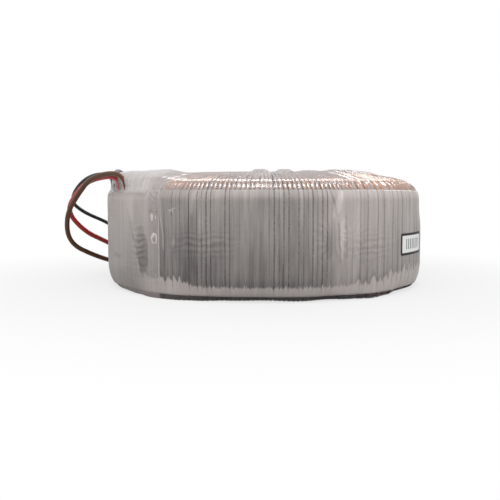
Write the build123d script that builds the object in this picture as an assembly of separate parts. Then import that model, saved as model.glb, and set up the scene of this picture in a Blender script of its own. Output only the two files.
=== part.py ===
from build123d import *
from math import cos, pi, radians, sin, tan
import os

# Toroidal transformer, in millimetres. +Z is the ring's axis and the origin is the centre of its
# underside. Directions round the ring are given as degrees to the left of the front (-Y), so that
# 90 degrees left is -X.

# ---- Finished ring, outside of the film ----
OUTER_RADIUS = 82.5
BORE_RADIUS = 21.0
HEIGHT = 58.0
MOUTH_ROUND = 14.5            # round of the bore's two mouths
SEAT_RADIUS = 44.0            # outer edge of the flat seat on top
OUTER_WALL_LOW = 12.0         # straight stretch of the outer wall
OUTER_WALL_HIGH = 44.5
HEEL_RADIUS = 73.0            # outer edge of the flat underside
SHOULDER_RADIUS = 10.0        # round of the upper outer corner
SHOULDER_ANGLE = 76.0         # how far the shoulder's round turns before the crown begins
CHORDS = 4                    # straight chords along each round of what lies under the film
BEYOND = 2.0                  # how far cutting shapes reach past the outer wall

# ---- Core ----
CORE_INNER = 38.5
CORE_OUTER = 73.0
CORE_LOW = 12.25
CORE_HIGH = 44.25
STRIP_THICKNESS = 0.3
CAP_WALL = 0.75
CAP_LIP = 5.0
CAP_CORNER = 0.4              # cut off each corner of the caps
CORE_WRAP_THICKNESS = 0.5
CORE_WRAP_CORNER = 0.7

# ---- Windings ----
PRIMARY_INNER = 30.3
PRIMARY_OUTER = 76.8
PRIMARY_LOW = 5.5
PRIMARY_HIGH = 51.0
PRIMARY_CORNER = 2.8
BARRIER_THICKNESS = 0.5
BARRIER_CORNER = 3.1
FILM_THICKNESS = 0.5
TURNS = 208                   # turns of the secondary side by side on the outer wall
GROOVE_FLOOR = 80.6           # radius at the bottom of the grooves between turns
GROOVE_SLOPE = 0.39           # half width of a groove for each millimetre out from its floor
SECONDARY_WIRE = 1.9
PRIMARY_WIRE = 1.1

# ---- Sector with no secondary turns, where the leads come up ----
SECTOR_START = 34.0
SECTOR_END = 86.0

# ---- Splices between the winding ends and the leads ----
SLEEVE_LOW = 14.0
SPLICE_LOW = 18.0
LEAD_START = 34.0
SLEEVE_HIGH = 38.0
SLEEVE_WALL = 0.35
SOLDER_SKIN = 0.1             # how much a soldered joint is thicker than its wire
TINNED_LENGTH = 7.0

# ---- Side band, tape and label on the outside of the film ----
BAND_LOW = 3.0                # the side band's two edges
BAND_HIGH = 49.6
BAND_THICKNESS = 0.2
TAPE_START, TAPE_END = 34.4, 39.3
TAPE_THICKNESS = 0.12
TAPE_LOWEST = 4.0
LABEL_CENTRE = -60.7          # to the right of the front
LABEL_WIDTH = 28.0
LABEL_HEIGHT = 10.4
LABEL_Z = 23.4
LABEL_THICKNESS = 0.12
LABEL_CORNER = 1.2
LABEL_STANDOFF = 10.0         # depth on each side of the wall that the label's outline cuts through


def on_ring(radius, degrees_left, z):
    """Point at a radius and height, a number of degrees to the left of the front."""
    angle = radians(degrees_left)
    return Vector(-radius * sin(angle), -radius * cos(angle), z)


# Each lead: outer diameter, conductor diameter, place on the ring, and the points of its route from
# the splice up through the film, out in a loop and round behind the ring on to the floor.
LEADS = {
    "brown": {
        "diameter": 2.3,
        "conductor": 1.5,
        "place": (79.9, 54.5),
        "route": [
            (-65.0, -46.4, 34.0), (-64.7, -46.9, 44.8), (-66.8, -44.2, 57.6), (-86.0, -28.2, 56.2),
            (-95.7, -18.2, 47.2), (-105.2, -7.6, 35.6), (-107.0, 3.6, 20.0), (-95.4, 16.3, 11.9),
            (-86.4, 30.8, 7.0), (-79.3, 48.0, 4.0), (-69.0, 62.5, 1.6), (-56.0, 75.5, 1.4),
            (-39.5, 84.0, 1.3), (-27.0, 86.5, 1.4),
        ],
    },
    "red": {
        "diameter": 2.3,
        "conductor": 1.5,
        "place": (79.9, 60.5),
        "route": [
            (-69.5, -39.3, 34.0), (-69.3, -39.8, 44.4), (-70.1, -38.0, 56.5), (-88.6, -21.4, 54.6),
            (-97.5, -14.2, 47.8), (-106.2, -2.9, 37.8), (-99.5, 8.8, 26.2), (-90.8, 21.7, 20.0),
            (-86.3, 37.2, 14.9), (-80.3, 51.8, 9.9), (-70.7, 65.6, 5.8), (-59.5, 79.0, 2.0),
            (-44.0, 89.5, 1.3), (-29.0, 94.0, 1.5), (-18.0, 95.0, 1.3),
        ],
    },
    "black": {
        "diameter": 1.7,
        "conductor": 1.0,
        "place": (80.2, 71.0),
        "route": [
            (-75.8, -26.1, 34.0), (-75.4, -27.0, 45.1), (-76.4, -23.9, 57.6), (-92.8, -12.2, 56.6),
            (-104.7, -2.7, 44.0), (-100.6, 10.4, 36.9), (-90.5, 24.3, 30.9), (-88.1, 39.9, 26.2),
            (-82.0, 54.6, 20.3), (-73.8, 68.2, 14.1), (-64.3, 80.5, 8.3), (-51.5, 92.5, 2.4),
            (-35.5, 100.5, 1.0), (-20.0, 103.0, 1.2), (-11.0, 102.5, 1.0),
        ],
    },
    "blue": {
        "diameter": 1.7,
        "conductor": 1.0,
        "place": (80.2, 66.3),
        "route": [
            (-73.4, -32.2, 34.0), (-73.2, -33.2, 46.5), (-74.0, -30.0, 57.6), (-76.0, -12.5, 59.3),
            (-75.9, 5.0, 57.6), (-74.2, 22.0, 58.4), (-68.5, 38.0, 58.8), (-59.5, 54.0, 57.8),
            (-48.0, 70.0, 53.0), (-35.0, 81.5, 41.5), (-22.0, 88.5, 26.5), (-8.0, 92.5, 12.0),
            (8.0, 94.5, 1.6), (21.0, 93.5, 1.0),
        ],
    },
}

# The winding ends that run to each splice. The secondary's come from the two sides of the sector,
# the primary's come straight out through the barrier.
TAILS = {
    "brown": [on_ring(79.9, 31, 10.0), on_ring(79.9, 39, 10.3), on_ring(79.9, 47, 10.0),
              on_ring(79.9, 54.5, 10.5), on_ring(79.9, 54.5, SPLICE_LOW)],
    "red": [on_ring(79.9, 89, 8.5), on_ring(79.9, 81.5, 8.8), on_ring(79.9, 74.5, 8.5),
            on_ring(79.9, 67.5, 8.8), on_ring(79.9, 60.5, 8.8), on_ring(79.9, 60.5, SPLICE_LOW)],
    "black": [on_ring(75.6, 71, 12.6), on_ring(80.2, 71, 12.4), on_ring(80.2, 71, SPLICE_LOW)],
    "blue": [on_ring(75.6, 66.3, 12.6), on_ring(80.2, 66.3, 12.4), on_ring(80.2, 66.3, SPLICE_LOW)],
}
SECONDARY_LEADS = ("brown", "red")
PRIMARY_LEADS = ("black", "blue")


# ---- Sections of the ring, as faces in the (radius, height) half plane ----

def finished_outline(inset):
    """The edges of the finished ring's section, pulled in by the same amount all round."""
    bore = BORE_RADIUS + inset
    wall = OUTER_RADIUS - inset
    top = HEIGHT - inset
    mouth = MOUTH_ROUND - inset
    mouth_radius = BORE_RADIUS + MOUTH_ROUND
    shoulder = SHOULDER_RADIUS - inset
    shoulder_centre = (OUTER_RADIUS - SHOULDER_RADIUS, OUTER_WALL_HIGH)
    crown_end = (shoulder_centre[0] + shoulder * cos(radians(SHOULDER_ANGLE)),
                 shoulder_centre[1] + shoulder * sin(radians(SHOULDER_ANGLE)))
    return [
        Line((bore, MOUTH_ROUND), (bore, HEIGHT - MOUTH_ROUND)),
        CenterArc((mouth_radius, HEIGHT - MOUTH_ROUND), mouth, 90, 90),
        Line((mouth_radius, top), (SEAT_RADIUS, top)),
        TangentArc((SEAT_RADIUS, top), crown_end, tangent=(1, 0)),
        CenterArc(shoulder_centre, shoulder, 0, SHOULDER_ANGLE),
        Line((wall, OUTER_WALL_HIGH), (wall, OUTER_WALL_LOW)),
        EllipticalCenterArc((HEEL_RADIUS, OUTER_WALL_LOW), wall - HEEL_RADIUS,
                            OUTER_WALL_LOW - inset, 270, arc_size=90),
        Line((HEEL_RADIUS, inset), (mouth_radius, inset)),
        CenterArc((mouth_radius, MOUTH_ROUND), mouth, 180, 90),
    ]


def finished_section(inset):
    """The finished ring's section, with its true rounds."""
    return Plane.XZ * make_face(Curve() + finished_outline(inset))


def wound_section():
    """The section of what lies under the film, with straight chords along its rounds."""
    chords = []
    for edge in finished_outline(FILM_THICKNESS):
        steps = 1 if edge.geom_type == GeomType.LINE else CHORDS
        chords += [Line(edge @ (i / steps), edge @ ((i + 1) / steps)) for i in range(steps)]
    return Plane.XZ * make_face(Curve() + chords)


def block_section(inner, outer, low, high, corner):
    """A rectangular section with its corners cut off, between two radii and two heights."""
    block = Pos((inner + outer) / 2, (low + high) / 2) * Rectangle(outer - inner, high - low)
    return Plane.XZ * chamfer(block.vertices(), corner)


def plain_section(inner, outer, low, high):
    """A square-cornered section between two radii and two heights."""
    return Plane.XZ * Pos((inner + outer) / 2, (low + high) / 2) * Rectangle(outer - inner, high - low)


def ring(section, start_left=None, end_left=None):
    """The section turned round the axis, all the way or over a sector left of the front."""
    if start_left is None:
        return revolve(section, axis=Axis.Z)
    turned = revolve(section, axis=Axis.Z, revolution_arc=end_left - start_left)
    return Rot(0, 0, 270 - end_left) * turned


# ---- Core, its caps and its tape ----

def make_core():
    """A ring wound from steel strip: its outside is a spiral that ends in a step one strip high."""
    stations = 16

    def spiral(turn):
        radius = CORE_OUTER - STRIP_THICKNESS * (1 - turn)
        return (radius * cos(2 * pi * turn), radius * sin(2 * pi * turn))

    arcs = [
        ThreePointArc(spiral(i / stations), spiral((i + 0.5) / stations), spiral((i + 1) / stations))
        for i in range(stations)
    ]
    step = Line(spiral(1), spiral(0))
    rolled = make_face(Curve() + arcs + [step]) - Circle(CORE_INNER)
    return Pos(0, 0, CORE_LOW) * extrude(rolled, CORE_HIGH - CORE_LOW)


def cap_outline():
    """The outside of the core's insulating caps."""
    return block_section(CORE_INNER - CAP_WALL, CORE_OUTER + CAP_WALL,
                         CORE_LOW - CAP_WALL, CORE_HIGH + CAP_WALL, CAP_CORNER)


def make_cap(upper):
    """A channel-shaped ring that hugs one edge pair of the core."""
    low = CORE_HIGH - CAP_LIP if upper else CORE_LOW - CAP_WALL
    high = CORE_HIGH + CAP_WALL if upper else CORE_LOW + CAP_LIP
    band = plain_section(CORE_INNER - CAP_WALL, CORE_OUTER + CAP_WALL, low, high)
    channel = (cap_outline() & band) - plain_section(CORE_INNER, CORE_OUTER, CORE_LOW, CORE_HIGH)
    return ring(channel)


def core_wrap_outline():
    """The outside of the tape over the core and its caps."""
    margin = CAP_WALL + CORE_WRAP_THICKNESS
    return block_section(CORE_INNER - margin, CORE_OUTER + margin,
                         CORE_LOW - margin, CORE_HIGH + margin, CORE_WRAP_CORNER)


# ---- Tubes for leads and winding ends ----

def bend_radii(points):
    """The largest bend radius that the two runs beside each corner allow."""
    radii = []
    for before, corner, after in zip(points, points[1:], points[2:]):
        run_in = corner - before
        run_out = after - corner
        half_turn = radians(run_in.get_angle(run_out)) / 2
        radii.append(0.45 * min(run_in.length, run_out.length) / tan(half_turn))
    return radii


def round_tube(points, diameter):
    """A round bar along straight runs joined by tangent arcs, with its path's length."""
    path = FilletPolyline(*points, radius=bend_radii(points))
    start = Plane(origin=path @ 0, z_dir=path % 0)
    return sweep(start * Circle(diameter / 2), path=path), path.length


def upright(radius, degrees_left, low, high, diameter):
    """An upright cylinder standing at a place on the ring."""
    foot = on_ring(radius, degrees_left, (low + high) / 2)
    return Pos(*foot) * Cylinder(diameter / 2, high - low)


# ---- Windings ----

def primary_outline():
    """The outside of the primary winding."""
    return block_section(PRIMARY_INNER, PRIMARY_OUTER, PRIMARY_LOW, PRIMARY_HIGH, PRIMARY_CORNER)


def barrier_outline():
    """The outside of the insulation between the windings."""
    return block_section(PRIMARY_INNER - BARRIER_THICKNESS, PRIMARY_OUTER + BARRIER_THICKNESS,
                         PRIMARY_LOW - BARRIER_THICKNESS, PRIMARY_HIGH + BARRIER_THICKNESS,
                         BARRIER_CORNER)


def groove_between_turns():
    """A wedge whose edge stands upright at the groove's floor and opens outwards."""
    reach = OUTER_RADIUS + BEYOND
    half_width = GROOVE_SLOPE * (reach - GROOVE_FLOOR)
    wedge = make_face(Polyline((GROOVE_FLOOR, 0), (reach, -half_width), (reach, half_width), close=True))
    return extrude(wedge, HEIGHT)


def make_secondary():
    """The secondary winding: a bundle of turns, fluted on its outer wall and shoulders."""
    bundle = ring(wound_section() - barrier_outline(), SECTOR_END - 360, SECTOR_START)
    pitch = (360 - SECTOR_END + SECTOR_START) / TURNS
    first = 270 - SECTOR_START
    grooves = [
        Rot(0, 0, first + pitch * turn) * groove_between_turns() for turn in range(1, TURNS)
    ]
    return bundle - grooves


# ---- Outside ----

def side_band_section():
    """The wide strip of film round the outer wall, from the heel up over the shoulder."""
    wall_strip = plain_section(HEEL_RADIUS, OUTER_RADIUS + BEYOND, BAND_LOW, BAND_HIGH)
    return (finished_section(-BAND_THICKNESS) - finished_section(0)) & wall_strip


def make_finish_tape():
    """A narrow strip from the heel up over the side band's edge and on to the shoulder."""
    skin = finished_section(-BAND_THICKNESS - TAPE_THICKNESS) - finished_section(0)
    wall_strip = plain_section(HEEL_RADIUS, OUTER_RADIUS + BEYOND, TAPE_LOWEST, HEIGHT)
    return ring((skin - side_band_section()) & wall_strip, TAPE_START, TAPE_END)


def make_label():
    """A thin sticker with rounded corners, bent to the side band."""
    inside = OUTER_RADIUS + BAND_THICKNESS
    wall = ring(plain_section(inside, inside + LABEL_THICKNESS,
                              LABEL_Z - LABEL_HEIGHT, LABEL_Z + LABEL_HEIGHT))
    facing = Plane(origin=on_ring(OUTER_RADIUS - LABEL_STANDOFF, LABEL_CENTRE, LABEL_Z),
                   x_dir=(-cos(radians(LABEL_CENTRE)), sin(radians(LABEL_CENTRE)), 0),
                   z_dir=on_ring(1, LABEL_CENTRE, 0))
    outline = facing * RectangleRounded(LABEL_WIDTH, LABEL_HEIGHT, LABEL_CORNER)
    return wall & extrude(outline, 2 * LABEL_STANDOFF)


# ---- Build every piece ----

pieces = {}

lead_tubes = {}
for colour, lead in LEADS.items():
    points = [Vector(*point) for point in lead["route"]]
    tube, length = round_tube(points, lead["diameter"])
    lead_tubes[colour] = tube
    section = pi * lead["diameter"] ** 2 / 4
    print(colour, "lead:", round(length, 1), "mm, volume over section times length",
          round(tube.volume / (section * length), 4),
          "bend radii", [round(radius, 1) for radius in bend_radii(points)])
    pieces["lead_" + colour] = tube

    last_run = (points[-1] - points[-2]).normalized()
    tip = Plane(origin=points[-1], z_dir=last_run)
    pieces["tinned_end_" + colour] = extrude(tip * Circle(lead["conductor"] / 2), TINNED_LENGTH)

tails = {}
for colour, route in TAILS.items():
    wire = SECONDARY_WIRE if colour in SECONDARY_LEADS else PRIMARY_WIRE
    tails[colour] = round_tube(route, wire)[0]

sleeve_volumes = {}
for colour, lead in LEADS.items():
    radius, degrees_left = lead["place"]
    wire = SECONDARY_WIRE if colour in SECONDARY_LEADS else PRIMARY_WIRE
    joint = upright(radius, degrees_left, SPLICE_LOW, LEAD_START + 0.5, wire + SOLDER_SKIN)
    pieces["splice_" + colour] = joint - lead_tubes[colour]
    sleeve = upright(radius, degrees_left, SLEEVE_LOW, SLEEVE_HIGH,
                     lead["diameter"] + 2 * SLEEVE_WALL)
    sleeve_volumes[colour] = sleeve
    pieces["sleeve_" + colour] = (sleeve - joint) - lead_tubes[colour] - tails[colour]

pieces["core"] = make_core()
pieces["core_cap_upper"] = make_cap(upper=True)
pieces["core_cap_lower"] = make_cap(upper=False)
pieces["core_wrap"] = ring(core_wrap_outline() - cap_outline())

primary = ring(primary_outline() - core_wrap_outline())
pieces["primary_winding"] = primary + [tails[colour] for colour in PRIMARY_LEADS]
barrier = ring(barrier_outline() - primary_outline())
pieces["winding_barrier"] = barrier - [tails[colour] for colour in PRIMARY_LEADS]
pieces["secondary_winding"] = make_secondary() + [tails[colour] for colour in SECONDARY_LEADS]

padding = ring(wound_section() - barrier_outline(), SECTOR_START, SECTOR_END)
for colour in LEADS:
    padding = padding - sleeve_volumes[colour] - lead_tubes[colour] - tails[colour]
pieces["lead_padding"] = padding

film = ring(finished_section(0) - wound_section())
pieces["outer_wrap"] = film - list(lead_tubes.values())
pieces["side_band"] = ring(side_band_section())
pieces["finish_tape"] = make_finish_tape()
pieces["label"] = make_label()

os.makedirs("parts", exist_ok=True)
for name, shape in pieces.items():
    export_step(shape, os.path.join("parts", name + ".step"))
print(len(pieces), "pieces written")
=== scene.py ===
"""Toroidal transformer: ring winding under clear film, with a side band, a label and four leads."""

import logging
import math
import random
from collections.abc import Callable
from dataclasses import dataclass, field
from enum import Enum

import bmesh
import bpy
from mathutils import Matrix, Vector


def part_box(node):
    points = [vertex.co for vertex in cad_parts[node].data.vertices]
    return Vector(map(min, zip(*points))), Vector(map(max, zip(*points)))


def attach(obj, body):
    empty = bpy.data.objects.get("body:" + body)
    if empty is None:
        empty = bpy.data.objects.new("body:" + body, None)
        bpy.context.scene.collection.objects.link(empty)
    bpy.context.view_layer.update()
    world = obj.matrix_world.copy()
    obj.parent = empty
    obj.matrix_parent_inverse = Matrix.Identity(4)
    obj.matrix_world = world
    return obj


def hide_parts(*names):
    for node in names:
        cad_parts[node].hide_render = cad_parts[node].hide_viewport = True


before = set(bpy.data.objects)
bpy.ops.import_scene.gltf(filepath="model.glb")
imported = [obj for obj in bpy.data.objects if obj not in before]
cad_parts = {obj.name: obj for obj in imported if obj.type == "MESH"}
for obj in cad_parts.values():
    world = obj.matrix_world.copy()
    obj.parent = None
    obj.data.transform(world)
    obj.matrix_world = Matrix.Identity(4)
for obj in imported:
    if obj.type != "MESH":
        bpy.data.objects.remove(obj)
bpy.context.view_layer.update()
MM = 0.001
BODY = "root"
RING_RADIUS_MM = 82.5
SAME_PLACE = 0.0001 * MM

log = logging.getLogger("transformer")


# ---------------------------------------------------------------- shader helpers

class Field:
    """A number that varies over a surface. Arithmetic on it adds Math nodes."""

    def __init__(self, shader: "Shader", socket: bpy.types.NodeSocket) -> None:
        """Keeps the shader that the number belongs to and the socket that gives it."""
        self.shader = shader
        self.socket = socket

    def __add__(self, other: "Field | float") -> "Field":
        """Sum."""
        return self.shader.math("ADD", self, other)

    __radd__ = __add__

    def __sub__(self, other: "Field | float") -> "Field":
        """Difference."""
        return self.shader.math("SUBTRACT", self, other)

    def __rsub__(self, other: float) -> "Field":
        """Difference from a plain number."""
        return self.shader.math("SUBTRACT", other, self)

    def __mul__(self, other: "Field | float") -> "Field":
        """Product."""
        return self.shader.math("MULTIPLY", self, other)

    __rmul__ = __mul__

    def __truediv__(self, other: "Field | float") -> "Field":
        """Quotient."""
        return self.shader.math("DIVIDE", self, other)

    def __rtruediv__(self, other: float) -> "Field":
        """Quotient of a plain number."""
        return self.shader.math("DIVIDE", other, self)

    def __pow__(self, other: float) -> "Field":
        """Power."""
        return self.shader.math("POWER", self, other)

    def sine(self) -> "Field":
        """Sine of the number, in radians."""
        return self.shader.math("SINE", self)

    def size(self) -> "Field":
        """Absolute value."""
        return self.shader.math("ABSOLUTE", self)

    def fraction(self) -> "Field":
        """Part after the decimal point."""
        return self.shader.math("FRACT", self)

    def whole(self) -> "Field":
        """Number rounded down."""
        return self.shader.math("FLOOR", self)

    def at_least(self, other: "Field | float") -> "Field":
        """The larger of the two."""
        return self.shader.math("MAXIMUM", self, other)

    def at_most(self, other: "Field | float") -> "Field":
        """The smaller of the two."""
        return self.shader.math("MINIMUM", self, other)

    def clamped(self) -> "Field":
        """The number kept between 0 and 1."""
        return self.at_least(0.0).at_most(1.0)

    def rise(self, low: "Field | float", high: "Field | float") -> "Field":
        """Smooth step up.

        Args:
            low: Where the step is still 0.
            high: Where it has reached 1.

        Returns:
            The step.
        """
        node = self.shader.node("ShaderNodeMapRange")
        node.interpolation_type = "SMOOTHSTEP"
        self.shader.feed(node.inputs["Value"], self)
        self.shader.feed(node.inputs["From Min"], low)
        self.shader.feed(node.inputs["From Max"], high)
        return Field(self.shader, node.outputs["Result"])

    def fall(self, low: "Field | float", high: "Field | float") -> "Field":
        """Smooth step from 1 at low to 0 at high."""
        return 1.0 - self.rise(low, high)

    def hump(self, centre: float, half_width: float) -> "Field":
        """Smooth hump of height 1 round a centre, 0 beyond its half width."""
        return (self - centre).size().fall(0.0, half_width)

    def between(self, rising: tuple, falling: tuple) -> "Field":
        """Smooth plateau that rises over the first pair of numbers and falls over the second."""
        return self.rise(*rising) * self.fall(*falling)


class Shader:
    """A material's node tree, with the ring's own directions in millimetres and degrees."""

    def __init__(self, name: str) -> None:
        """Starts an empty material.

        Args:
            name: The material's name.
        """
        self.material = bpy.data.materials.new(name)
        self.material.use_nodes = True
        self.tree = self.material.node_tree
        self.tree.nodes.clear()
        coordinates = self.node("ShaderNodeTexCoord")
        split = self.node("ShaderNodeSeparateXYZ")
        self.tree.links.new(coordinates.outputs["Object"], split.inputs[0])
        self.x, self.y, self.z = (Field(self, output) * (1 / MM) for output in split.outputs)

    def node(self, kind: str) -> bpy.types.Node:
        """Adds a node of one kind."""
        return self.tree.nodes.new(kind)

    def feed(self, socket: bpy.types.NodeSocket, value: "Field | float") -> None:
        """Links a varying number to a socket, or sets a plain one on it.

        Args:
            socket: The socket that takes the number.
            value: The number.
        """
        if isinstance(value, Field):
            self.tree.links.new(value.socket, socket)
        else:
            socket.default_value = value

    def math(self, operation: str, *values: "Field | float") -> Field:
        """Adds a Math node.

        Args:
            operation: Name of the operation.
            values: Its one or two operands.

        Returns:
            The result.
        """
        node = self.node("ShaderNodeMath")
        node.operation = operation
        for socket, value in zip(node.inputs, values):
            self.feed(socket, value)
        return Field(self, node.outputs[0])

    def left(self) -> Field:
        """Degrees to the left of the front."""
        return self.math("ARCTAN2", self.x * -1.0, self.y * -1.0) * math.degrees(1)

    def along(self) -> Field:
        """Millimetres to the left of the front, along the outer wall."""
        return self.left() * (math.radians(1) * RING_RADIUS_MM)

    def radius(self) -> Field:
        """Millimetres from the ring's axis."""
        return self.math("SQRT", self.x * self.x + self.y * self.y)

    def attribute(self, name: str) -> Field:
        """A number stored on the mesh.

        Args:
            name: The attribute's name.

        Returns:
            The number.
        """
        node = self.node("ShaderNodeAttribute")
        node.attribute_name = name
        return Field(self, node.outputs["Fac"])

    def noise(self, x: "Field | float", y: "Field | float", z: "Field | float" = 0.0,
              detail: float = 2.0, roughness: float = 0.5) -> Field:
        """Smooth noise, from about 0.2 to 0.8, over three numbers.

        Args:
            x: First number; noise changes over about 1.
            y: Second number.
            z: Third number.
            detail: How many finer layers it has.
            roughness: How strong those are.

        Returns:
            The noise.
        """
        join = self.node("ShaderNodeCombineXYZ")
        for socket, value in zip(join.inputs, (x, y, z)):
            self.feed(socket, value)
        node = self.node("ShaderNodeTexNoise")
        node.inputs["Scale"].default_value = 1.0
        node.inputs["Detail"].default_value = detail
        node.inputs["Roughness"].default_value = roughness
        self.tree.links.new(join.outputs[0], node.inputs["Vector"])
        return Field(self, node.outputs["Fac"])

    def blend(self, first: "tuple | bpy.types.NodeSocket", second: "tuple | bpy.types.NodeSocket",
              share: Field) -> bpy.types.NodeSocket:
        """Mixes two colours.

        Args:
            first: Colour where share is 0.
            second: Colour where share is 1.
            share: How much of the second shows.

        Returns:
            The mixed colour's socket.
        """
        node = self.node("ShaderNodeMix")
        node.data_type = "RGBA"
        self.feed(node.inputs["Factor"], share)
        slots = [socket for socket in node.inputs if socket.type == "RGBA"]
        for socket, colour in zip(slots, (first, second)):
            if isinstance(colour, tuple):
                socket.default_value = (*colour, 1.0)
            else:
                self.tree.links.new(colour, socket)
        return next(socket for socket in node.outputs if socket.type == "RGBA")

    def layered(self, base: tuple, *coats: tuple) -> bpy.types.NodeSocket:
        """Lays colours over one another.

        Args:
            base: The lowest colour.
            coats: The others from the lowest up, each with how much of it shows.

        Returns:
            The mixed colour's socket.
        """
        colour = base
        for coat, share in coats:
            colour = self.blend(colour, coat, share)
        return colour

    def bump(self, height: Field, distance: float) -> bpy.types.NodeSocket:
        """Bumps the surface.

        Args:
            height: Height of the surface, mostly from 0 to 1.
            distance: What a height of 1 stands for, in metres.

        Returns:
            The bumped normal's socket.
        """
        node = self.node("ShaderNodeBump")
        node.inputs["Strength"].default_value = 1.0
        node.inputs["Distance"].default_value = distance
        self.feed(node.inputs["Height"], height)
        return node.outputs["Normal"]

    def surface(self, colour: "tuple | bpy.types.NodeSocket", roughness: "Field | float",
                alpha: "Field | float" = 1.0, normal: "bpy.types.NodeSocket | None" = None,
                **settings: float) -> bpy.types.Material:
        """Ends the tree in one Principled shader.

        Args:
            colour: Base colour, plain or varying.
            roughness: Roughness, plain or varying.
            alpha: How much of the surface is there.
            normal: A bumped normal.
            settings: Sockets of the shader that are the same all over, with spaces as underscores.

        Returns:
            The finished material.
        """
        shader = self.node("ShaderNodeBsdfPrincipled")
        if isinstance(colour, tuple):
            shader.inputs["Base Color"].default_value = (*colour, 1.0)
        else:
            self.tree.links.new(colour, shader.inputs["Base Color"])
        self.feed(shader.inputs["Roughness"], roughness)
        self.feed(shader.inputs["Alpha"], alpha)
        if normal is not None:
            self.tree.links.new(normal, shader.inputs["Normal"])
        for name, value in settings.items():
            shader.inputs[name.replace("_", " ")].default_value = value
        output = self.node("ShaderNodeOutputMaterial")
        self.tree.links.new(shader.outputs[0], output.inputs["Surface"])
        return self.material


# ---------------------------------------------------------------- finishes
#
# Angles are degrees to the left of the front, heights and widths are millimetres. A sector is the
# pair of angles over which it fades in and the pair over which it fades out.

@dataclass(frozen=True)
class EnamelledCopper:
    """Magnet wire: copper under a clear brownish enamel, with turns of slightly different tone, a painted
    glint over one sector and painted shade on the sides of each turn and at the foot.
    """

    dark: tuple = (0.21, 0.092, 0.052)
    bright: tuple = (0.72, 0.315, 0.135)
    # The next colour is a painted glint: brighter orange copper over one sector on the right.
    glow: tuple = (0.82, 0.36, 0.14)
    painted_flank_shade: tuple = (0.075, 0.030, 0.018)
    # The next colour is painted shade: the copper is darker at the foot, near the floor.
    foot: tuple = (0.060, 0.034, 0.026)
    roughness: float = 0.17
    enamel: float = 0.6
    enamel_roughness: float = 0.08
    painted_glint_side: tuple = ((-120.0, -90.0), (-50.0, -34.0))

    def material(self) -> bpy.types.Material:
        """Builds the material.

        Returns:
            The finished material.
        """
        shader = Shader("enamelled_copper")
        turns = shader.noise(shader.along() * 0.55, shader.z * 0.02, detail=1.0)
        scuffs = shader.noise(shader.x * 0.9, shader.y * 0.9, shader.z * 0.25, detail=3.0)
        colour = shader.layered(
            self.dark,
            (self.bright, (turns * 2.2 - 0.70 + (scuffs - 0.5) * 0.5).clamped()),
            # Painted glint: the copper is brighter orange over the right-hand sector.
            (self.glow, shader.left().between(*self.painted_glint_side) * 0.7),
            # Painted shade: each turn is darker on its sides, where it meets the next turn.
            (self.painted_flank_shade, (shader.attribute("flank") ** 1.5) * 0.85),
            # Painted shade: darker at the foot of the ring, below about 6 mm.
            (self.foot, shader.z.fall(2.2, 6.0) * 0.85))
        return shader.surface(colour, self.roughness + scuffs * 0.16, Metallic=1.0,
                              Coat_Weight=self.enamel, Coat_Roughness=self.enamel_roughness)


@dataclass(frozen=True)
class HazePatch:
    """A patch of the film that is paler or clearer than the rest, as an upright or leaning oval."""

    left: float
    z: float
    half_width: float
    half_height: float
    amount: float
    lean: float = 0.0
    edge: float = 0.6

    def strength(self, along: Field, z: Field) -> Field:
        """The patch's own amount over the surface.

        Args:
            along: Millimetres left of the front.
            z: Height in millimetres.

        Returns:
            Amount at the middle, fading to 0 at the edge.
        """
        centre = math.radians(self.left) * RING_RADIUS_MM
        across = (along - centre + (z - self.z) * self.lean) / self.half_width
        up = (z - self.z) / self.half_height
        return (across * across + up * up).fall(self.edge * self.edge, 1.0) * self.amount


@dataclass(frozen=True)
class Crease:
    """A straight crease in the film, pale or dark."""

    start: tuple
    end: tuple
    half_width: float
    amount: float

    def strength(self, along: Field, z: Field) -> Field:
        """The crease's own amount over the surface.

        Args:
            along: Millimetres left of the front.
            z: Height in millimetres.

        Returns:
            Amount on the crease, fading to 0 beside it and past its ends.
        """
        degree = math.radians(1) * RING_RADIUS_MM
        run = (self.end[0] - self.start[0]) * degree
        climb = self.end[1] - self.start[1]
        over = along - self.start[0] * degree
        up = z - self.start[1]
        share = ((over * run + up * climb) / (run * run + climb * climb)).clamped()
        over, up = over - share * run, up - share * climb
        distance = (over * over + up * up) / self.half_width ** 2
        return distance.fall(0.02, 1.0) * self.amount


@dataclass(frozen=True)
class Fan:
    """Wrinkles that radiate from a place where the film is pulled together."""

    left: float
    z: float
    reach: float
    wrinkles: float
    amount: float

    def strength(self, along: Field, z: Field) -> Field:
        """The fan's own amount over the surface.

        Args:
            along: Millimetres left of the front.
            z: Height in millimetres.

        Returns:
            Pale and dark wrinkles round the place, fading to 0 at their reach.
        """
        across = along - self.left * math.radians(1) * RING_RADIUS_MM
        up = z - self.z
        squared = (across * across + up * up) / (self.reach * self.reach)
        rays = (across.shader.math("ARCTAN2", up, across) * self.wrinkles).sine()
        return rays * squared.rise(0.01, 0.12) * squared.fall(0.3, 1.0) * self.amount


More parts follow.
